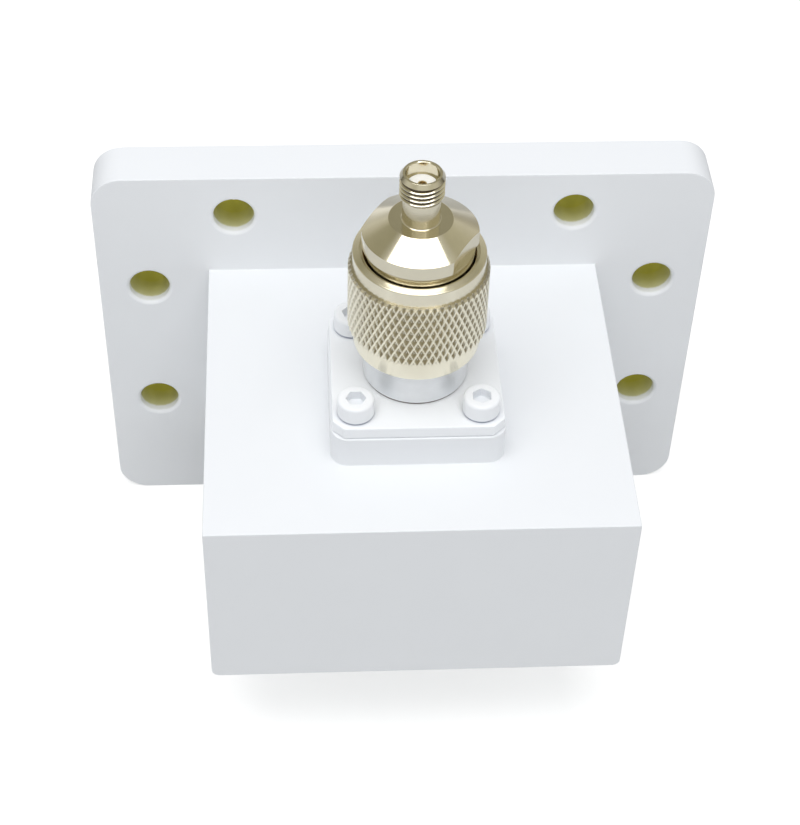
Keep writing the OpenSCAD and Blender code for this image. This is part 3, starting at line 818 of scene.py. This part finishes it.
def nut_mesh(nut, jack, steps=8):
    """The coupling nut as one loop: foot, knurl and top ring outside, recess, lip and thread inside."""
    columns = nut.pits_round * steps
    turn = np.arange(columns) * TURN / columns
    bore, low, high = nut.bore / 2, NUT_LOW.z, NUT_HIGH.z
    foot, top = bore + nut.foot_wall, bore + nut.top_wall
    core = bore + nut.knurl_wall - nut.knurl_depth - STEP / 2
    knurl_low = low + nut.foot_height
    knurl_high = knurl_low + nut.knurl_height
    recess = bore + nut.recess_step
    recess_z = high - nut.recess_depth
    lip = bore + nut.gap / 2
    slot_high = recess_z - nut.lip
    slot_low = slot_high - nut.clip - 2 * nut.gap
    slot = lip + nut.clip_stand + nut.gap
    thread_high = slot_low - nut.gap * 4
    crest = bore - jack.thread_depth / 2
    below = rounded([
        (bore + STEP, low, 0.05 * MM), (foot, low, 0.25 * MM), (foot, knurl_low, 0), (core, knurl_low, 0),
    ])
    knurl_radius, knurl_height, depth, split = knurl_rows(nut, columns, knurl_low, steps)
    knurl_radius = np.minimum(knurl_radius, top + nut.shoulder + knurl_high - knurl_height)
    above = rounded([
        (top, knurl_high, 0), (top, knurl_high + 0.08 * MM, 0),
        (top, high - nut.top_fall - nut.top_edge, 0.04 * MM),
        (top - nut.top_edge, high - nut.top_fall, 0.04 * MM), (recess, high, 0.06 * MM),
        (recess, recess_z, 0.04 * MM), (lip, recess_z, 0.08 * MM), (lip, slot_high, 0), (slot, slot_high, 0),
        (slot, slot_low, 0), (lip, slot_low, 0), (lip, thread_high, 0),
        (crest + jack.thread_depth, thread_high, 0),
    ])
    radius, height = thread_rows(
        thread_high - 0.02 * MM, low + STEP, crest, jack.thread_depth, jack.pitch, turn, steps
    )
    radius = np.maximum(radius, bore + STEP - (height - low))
    blocks = [
        turned_rows(below, columns), (knurl_radius, knurl_height), turned_rows(above, columns), (radius, height)
    ]
    radius, height = (np.vstack(arrays) for arrays in zip(*blocks))
    first = len(below)
    last = first + len(depth)
    other_way = np.zeros(radius.shape, bool)
    other_way[first:first + len(split)] = split
    # Painted shade fills the pits and the corner above the knurl
    sunk = np.zeros(radius.shape)
    sunk[first:last] = depth
    sunk[last - 1:last + 1] = 1
    return skin("knurled_nut", revolved(radius, turn, height), loop=True, other_way=other_way, sunk=sunk)


class WAVEGUIDE_OT_nut(bpy.types.Operator):
    """Makes the knurled coupling nut with its inner thread"""

    bl_idname = "waveguide.nut"
    bl_label = "Coupling nut"

    def execute(self, context):
        scene = context.scene
        finish = scene.waveguide_finish
        # Painted shade darkens the knurl's pits and the corner above it
        nickel = shaded_plate("bright_nickel_nut", finish.brightened_nut_plate, finish.pit_shade, 0.2, 0.1, 0.002, 0.8)
        mesh = nut_mesh(scene.waveguide_nut, scene.waveguide_jack)
        piece("knurled_nut", mesh, nickel, "nut", "nickel_plate", "coupling_nut")
        return {"FINISHED"}


def warped_turns(reach, columns, flats_turn):
    """Turns of each row's columns, a quarter of them in each of two sectors that span the flats.

    reach is each row's half angle of the sectors, so that a column runs along each edge of the flats.
    """
    part = columns // 4
    share = np.linspace(-1, 1, part, endpoint=False)[None]
    reach = np.asarray(reach)[:, None]
    on_flat = reach * share
    between = TURN / 4 + (TURN / 4 - reach) * share
    half = np.hstack((on_flat, between))
    return np.hstack((half, half + TURN / 2)) + flats_turn


def plug_mesh(plug, nut, columns=224, rows_each=40):
    """The adapter's shell as one loop: neck, rim with two flats, cone, small connector and the bores inside.

    On the flats the radius is the flat's distance over the cosine of the turn from its middle. They run
    out on the cone where its radius has shrunk to that distance.
    """
    neck_r = nut.bore / 2 - nut.gap / 2
    collar_r = nut.bore / 2 + nut.gap / 2 - plug.collar_gap
    seat_r = neck_r - plug.clip_groove
    low, end = PLUG_LOW.z, PLUG_HIGH.z
    clip_z = NUT_HIGH.z - nut.recess_depth - nut.lip - nut.gap - nut.clip
    collar_z = NUT_HIGH.z - nut.recess_depth - nut.lip
    rim_z = NUT_HIGH.z + plug.rim_clear
    cone_z = rim_z + plug.rim_height
    flat_z = cone_z + plug.cone_height
    rim, flat = plug.rim / 2, plug.flats / 2
    slope = (rim - plug.cone_top / 2) / plug.cone_height
    # The flats run out at this height up the cone
    run_out = cone_z + (rim - flat) / slope
    below = rounded([
        (plug.ferrule_collar / 2, low, 0), (neck_r, low, 0.2 * MM), (neck_r, clip_z, 0), (seat_r, clip_z, 0),
        (seat_r, clip_z + nut.clip, 0), (neck_r, clip_z + nut.clip, 0), (neck_r, collar_z, 0),
        (collar_r, collar_z, 0), (collar_r, rim_z, 0),
    ])
    # The rim and the lower cone, with the flats
    edge = plug.rim_edge
    rim_rows = np.array([(collar_r, rim_z), (rim - edge, rim_z), (rim, rim_z + edge), (rim, cone_z)])
    climb = np.linspace(cone_z, run_out, 12)[1:]
    cone_rows = np.column_stack((rim - (climb - cone_z) * slope, climb))
    rows = np.vstack((rim_rows, cone_rows))
    reach = np.arccos(np.clip(flat / np.maximum(rows[:, 0], flat), 0, 1))
    reach[0] = reach[1]
    # Above the flats the columns spread back to even turns, up to just below the cone's flat
    cone_top, spread_end, next_row = plug.cone_top / 2, 0.5 * MM, 0.4 * MM
    share = np.linspace(0, 1, 13)[1:, None]
    spread_rows = rows[-1] + share * ((cone_top + spread_end * slope, flat_z - spread_end) - rows[-1])
    rows = np.vstack((rows, spread_rows))
    reach = np.concatenate((reach, reach[1] * share[:, 0]))
    neck = plug.neck / 2
    thread_z = flat_z + plug.neck_height
    root = plug.thread / 2 - plug.thread_depth
    above = rounded([
        (cone_top + next_row * slope, flat_z - next_row, 0), (cone_top, flat_z, 0.06 * MM),
        (neck, flat_z, plug.fillet), (neck, thread_z, 0), (root, thread_z + 0.05 * MM, 0),
    ])
    mouth_r, core_r, line_r = plug.mouth / 2, plug.core / 2, plug.line / 2
    line_low = low + plug.ferrule_seat
    line_high = line_low + plug.line_height
    inside = rounded([
        (plug.thread / 2 - plug.thread_edge, end, 0.06 * MM), (mouth_r + plug.mouth_edge, end, 0),
        (mouth_r, end - plug.mouth_edge, 0.03 * MM), (mouth_r, MOUTH_Z, 0), (core_r, MOUTH_Z, 0),
        (core_r, line_high, 0), (line_r, line_high, 0), (line_r, line_low, 0),
        (plug.ferrule_collar / 2, line_low, 0), (plug.ferrule_collar / 2, low, 0),
    ])
    turn = warped_turns([reach[1]], columns, plug.flats_turn)
    radius, height = thread_rows(
        thread_z + 0.08 * MM, end - 0.02 * MM, root, plug.thread_depth, plug.pitch, turn[0], rows_each, 0.5
    )
    radius = root + (radius - root) * np.clip((height - thread_z) / (0.5 * plug.pitch), 0, 1)
    relief = end - plug.thread_lead - plug.relief
    radius = np.where(height > relief, root, radius)
    radius = np.where(height > end - plug.thread_lead, plug.thread / 2, radius)
    taper = plug.thread_edge / plug.thread_lead
    radius = np.minimum(radius, plug.thread / 2 - plug.thread_edge + (end - height) * taper)
    # Painted shade goes in the small thread's roots, below its taper
    sunk = np.interp((plug.thread / 2 - radius) / plug.thread_depth, (0.35, 0.8), (0, 1))
    sunk *= (height < end - plug.thread_lead) * np.clip((height - thread_z) / (0.8 * plug.pitch), 0, 1)
    flat_turn = warped_turns(reach, columns, plug.flats_turn)
    bent = np.abs((flat_turn - plug.flats_turn + TURN / 4) % (TURN / 2) - TURN / 4)
    cut = np.minimum(np.repeat(rows[:, :1], columns, 1), flat / np.maximum(np.cos(bent), 0.05))
    cut[-len(share):] = spread_rows[:, :1]
    cut[0] = collar_r
    blocks = [
        (*turned_rows(below, columns), np.repeat(turn, len(below), 0)),
        (cut, np.repeat(rows[:, 1:], columns, 1), flat_turn),
        (*turned_rows(above, columns), np.repeat(turn, len(above), 0)),
        (radius, height, np.repeat(turn, len(radius), 0)),
        (*turned_rows(inside, columns), np.repeat(turn, len(inside), 0)),
    ]
    painted_shade = np.vstack([sunk if rows is radius else np.zeros(rows.shape) for rows, *_ in blocks])
    radius, height, turns = (np.vstack(arrays) for arrays in zip(*blocks))
    return skin("plug_shell_turned", revolved(radius, turns, height), loop=True, sharp=30, sunk=painted_shade)


def shade_cone(mesh, plug):
    """Shades the cone evenly where its cells crowd beside the flats.

    A face belongs to the cone where all its points do, and there the normal leans out by 1 and up by the
    cone's slope, over the root of the sum of their squares.
    """
    around = read(mesh.vertices, "co", width=3) - (0, AXIS.y, NUT_HIGH.z + plug.rim_clear + plug.rim_height)
    reach, rise = np.hypot(around[:, 0], around[:, 1]), around[:, 2]
    slope = (plug.rim - plug.cone_top) / 2 / plug.cone_height
    near = 0.001 * MM
    on_cone = np.abs(reach + rise * slope - plug.rim / 2) < near
    on_cone &= (rise > -near) & (rise < plug.cone_height - 0.2 * MM)
    lean = np.column_stack((around[:, :2] / np.maximum(reach, near)[:, None], np.full(len(reach), slope)))
    lean /= math.hypot(1, slope)
    chosen = np.repeat(whole_faces(mesh, on_cone), read(mesh.polygons, "loop_total", int))
    lean = lean[read(mesh.loops, "vertex_index", int)]
    normals = np.where(chosen[:, None], lean, read(mesh.corner_normals, "vector", width=3))
    mesh.normals_split_custom_set(normals.tolist())


class WAVEGUIDE_OT_plug(bpy.types.Operator):
    """Makes the screw-on adapter's shell with its wrench flats, cone, neck and small thread"""

    bl_idname = "waveguide.plug"
    bl_label = "Screw-on adapter"

    def execute(self, context):
        scene = context.scene
        finish = scene.waveguide_finish
        nickel = shaded_plate("bright_nickel_shell", finish.nickel, finish.root_shade, 0.12, 0.09, 0.002)
        mesh = plug_mesh(scene.waveguide_plug, scene.waveguide_nut)
        shade_cone(mesh, scene.waveguide_plug)
        piece("plug_shell_turned", mesh, nickel, "adapter", "nickel_plate", "plug_shell")
        return {"FINISHED"}


class WAVEGUIDE_OT_inner(bpy.types.Operator):
    """Gives the contacts, insulators, probe, gasket and retaining ring their finishes"""

    bl_idname = "waveguide.inner"
    bl_label = "Inner pieces"

    def execute(self, context):
        finish = context.scene.waveguide_finish
        gold = plated("gold_plate", finish.gold, 0.34, 0.1, 0.003)[0]
        white = fluoropolymer(finish.core)
        finishes = {
            "jack_insulator": white, "plug_insulator": white, "small_insulator": white,
            "jack_contact": gold, "pin_contact": gold, "small_contact": gold, "launch_probe": gold,
            "plug_ferrule": plated("bright_nickel_ferrule", finish.nickel, 0.2, 0.1, 0.003)[0],
            "retaining_ring": plated("spring_bronze", finish.bronze, 0.33, 0.1, 0.004)[0],
            "sealing_gasket": silicone(finish.gasket),
        }
        for node, material in finishes.items():
            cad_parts[node].material_slots[0].material = material
        return {"FINISHED"}


# Tones of the room that mirrors see on each side: the height of the line of sight, and the colour there
ROOM = {
    "front": ((0, "#857F6C"), (0.5, "#DAD8CC"), (0.92, "#C9C5B8"), (1, "#FFFFFF")),
    "behind": ((0, "#FFFFFF"), (0.48, "#B4B09E"), (0.72, "#8D8973"), (0.95, "#C9C5B8"), (1, "#FFFFFF")),
    "right": ((0, "#4A4434"), (0.32, "#CFCBBD"), (0.55, "#BFBBA6"), (0.8, "#B5B19B"), (1, "#FFFFFF")),
    "left": ((0, "#55513F"), (0.32, "#DAD7CA"), (0.55, "#A8A48E"), (0.8, "#A09C84"), (1, "#FFFFFF")),
}
# Where each side takes over from those before it: the part of the line of sight, and that part's start and end
TAKES_OVER = (("behind", "Y", -0.35, 0.2), ("right", "X", 0.3, 0.65), ("left", "X", -0.3, -0.65))


def studio_world(world, fill):
    """A pale room: even soft light for matt surfaces, white for the camera, and the toned room for mirrors."""
    world.use_nodes = True
    tree = world.node_tree
    tree.nodes.clear()
    way = add_node(tree, "TexCoord", output="Generated")
    parts = add_node(tree, "SeparateXYZ", {"Vector": way}).node.outputs
    tones = {}
    for side, bands in ROOM.items():
        tones[side] = add_node(tree, "ValToRGB", {"Fac": parts["Z"]}, "Color")
        marks = tones[side].node.color_ramp.elements
        for height, _ in bands[1:-1]:
            marks.new(height)
        for mark, (height, hex_code) in zip(marks, bands):
            mark.position, mark.color = height, linear(hex_code)
    wall = tones["front"]
    for side, part, start, end in TAKES_OVER:
        share = add_node(tree, "MapRange", {
            "Value": parts[part], "From Min": start, "From Max": end}, interpolation_type="SMOOTHSTEP")
        wall = add_node(tree, "Mix", {
            "Factor": share, "A": wall, "B": tones[side]}, "Result", data_type="RGBA")
    soft, seen, white = (
        add_node(tree, "Background", {"Color": tone, "Strength": strength})
        for tone, strength in ((linear("#F9FBFF"), fill), (wall, 1.0), (linear("#FFFFFF"), 1.0))
    )
    path = add_node(tree, "LightPath").node.outputs
    mirrored = add_node(tree, "Math", {
        0: path["Is Glossy Ray"], 1: path["Is Transmission Ray"]}, operation="MAXIMUM")
    lit = add_node(tree, "MixShader", {0: mirrored, 1: soft, 2: seen})
    shown = add_node(tree, "MixShader", {0: path["Is Camera Ray"], 1: lit, 2: white})
    feed(tree, tree.nodes.new("ShaderNodeOutputWorld"), {"Surface": shown})


def floor_material(rgba, dim):
    """Matt white card that takes the part's shadow: white for the camera, and dim far in front for mirrors."""
    material, tree, shader, place = new_material("white_card", {
        "Roughness": 0.9, "Emission Color": (1, 1, 1, 1)})
    path = add_node(tree, "LightPath").node.outputs
    before = add_node(tree, "SeparateXYZ", {"Vector": place}, "Y")
    dusk = add_node(tree, "MapRange", {
        "Value": before, "From Min": -260 * MM, "From Max": -420 * MM}, interpolation_type="SMOOTHSTEP")
    mirrored = add_node(tree, "Math", {0: dusk, 1: path["Is Glossy Ray"]}, operation="MULTIPLY")
    clouds = add_node(tree, "TexNoise", {"Vector": place, "Scale": 1 / (40 * MM)})
    card = add_node(tree, "Mix", {
        "Factor": clouds, "A": scaled(rgba, 0.995), "B": rgba}, "Result", data_type="RGBA")
    feed(tree, shader, {
        "Base Color": add_node(tree, "Mix", {
            "Factor": mirrored, "A": card, "B": dim}, "Result", data_type="RGBA"),
        "Emission Strength": add_node(tree, "MapRange", {
            "Value": path["Is Camera Ray"], "To Min": 0.0, "To Max": 0.5}),
    })
    return material


def set_up(name, data, place, aim, roll=0.0):
    """Puts a lamp or a camera at a place, facing a point and turned about its line of sight."""
    made = bpy.data.objects.new(name, data)
    made.location = place
    made.rotation_mode = "QUATERNION"
    sight = Vector(aim) - Vector(place)
    made.rotation_quaternion = sight.to_track_quat("-Z", "Y") @ Quaternion((0, 0, 1), roll)
    bpy.context.scene.collection.objects.link(made)
    return made


class WAVEGUIDE_OT_stage(bpy.types.Operator):
    """Sets the floor, the soft light and the camera"""

    bl_idname = "waveguide.stage"
    bl_label = "Stage"

    def execute(self, context):
        scene, stage = context.scene, context.scene.waveguide_stage
        mesh = bpy.data.meshes.new("floor")
        square = np.array([(-1, -1), (1, -1), (1, 1), (-1, 1)]) * stage.floor_reach
        mesh.from_pydata(np.column_stack((square, np.full(4, CAD_BOX[0].z))), [], [(0, 1, 2, 3)])
        mesh.materials.append(floor_material(stage.floor, stage.far_floor))
        floor = bpy.data.objects.new("floor", mesh)
        scene.collection.objects.link(floor)
        scene.world = bpy.data.worlds.new("studio")
        studio_world(scene.world, stage.fill)
        lamp = bpy.data.lights.new("overhead_softbox", "AREA")
        lamp.shape = "RECTANGLE"
        lamp.size, lamp.size_y = stage.lamp_width, stage.lamp_depth
        lamp.energy = stage.lamp_watts
        set_up("overhead_softbox", lamp, stage.lamp_place, stage.lamp_aim)
        camera = bpy.data.cameras.new("camera")
        camera.sensor_width = 36
        camera.lens = stage.focal / MM
        camera.clip_start = 10 * MM
        scene.camera = set_up("camera", camera, stage.camera_place, stage.camera_aim, stage.camera_roll)
        scene.view_settings.view_transform = "Standard"
        return {"FINISHED"}


class WAVEGUIDE_PT_panel(bpy.types.Panel):
    """Lists the pieces and their sizes"""

    bl_idname = "WAVEGUIDE_PT_panel"
    bl_label = "Waveguide Coax Adapter"
    bl_space_type = "VIEW_3D"
    bl_region_type = "UI"
    bl_category = "Adapter"

    def draw(self, context):
        for operator in OPERATORS:
            self.layout.operator(operator.bl_idname)
        for name, group in SETTINGS.items():
            box = self.layout.box()
            for key in group.__annotations__:
                box.prop(getattr(context.scene, name), key)


SETTINGS = {
    "waveguide_finish": FinishSettings,
    "waveguide_body": BodySettings,
    "waveguide_jack": JackSettings,
    "waveguide_screw": ScrewSettings,
    "waveguide_nut": NutSettings,
    "waveguide_plug": PlugSettings,
    "waveguide_stage": StageSettings,
}
OPERATORS = (
    WAVEGUIDE_OT_stage, WAVEGUIDE_OT_body, WAVEGUIDE_OT_jack, WAVEGUIDE_OT_screws,
    WAVEGUIDE_OT_nut, WAVEGUIDE_OT_plug, WAVEGUIDE_OT_inner,
)


def register():
    """Registers the classes and gives the scene its settings."""
    for name, group in SETTINGS.items():
        bpy.utils.register_class(group)
        setattr(bpy.types.Scene, name, bpy.props.PointerProperty(type=group))
    for operator in (*OPERATORS, WAVEGUIDE_PT_panel):
        bpy.utils.register_class(operator)


def unregister():
    """Takes the classes and the settings away again."""
    for operator in reversed((*OPERATORS, WAVEGUIDE_PT_panel)):
        bpy.utils.unregister_class(operator)
    for name, group in reversed(SETTINGS.items()):
        delattr(bpy.types.Scene, name)
        bpy.utils.unregister_class(group)


def main():
    """Makes every piece in order."""
    register()
    bpy.ops.waveguide.stage()
    bpy.ops.waveguide.body()
    bpy.ops.waveguide.jack()
    bpy.ops.waveguide.screws()
    bpy.ops.waveguide.nut()
    bpy.ops.waveguide.plug()
    bpy.ops.waveguide.inner()


if __name__ == "__main__":
    main()
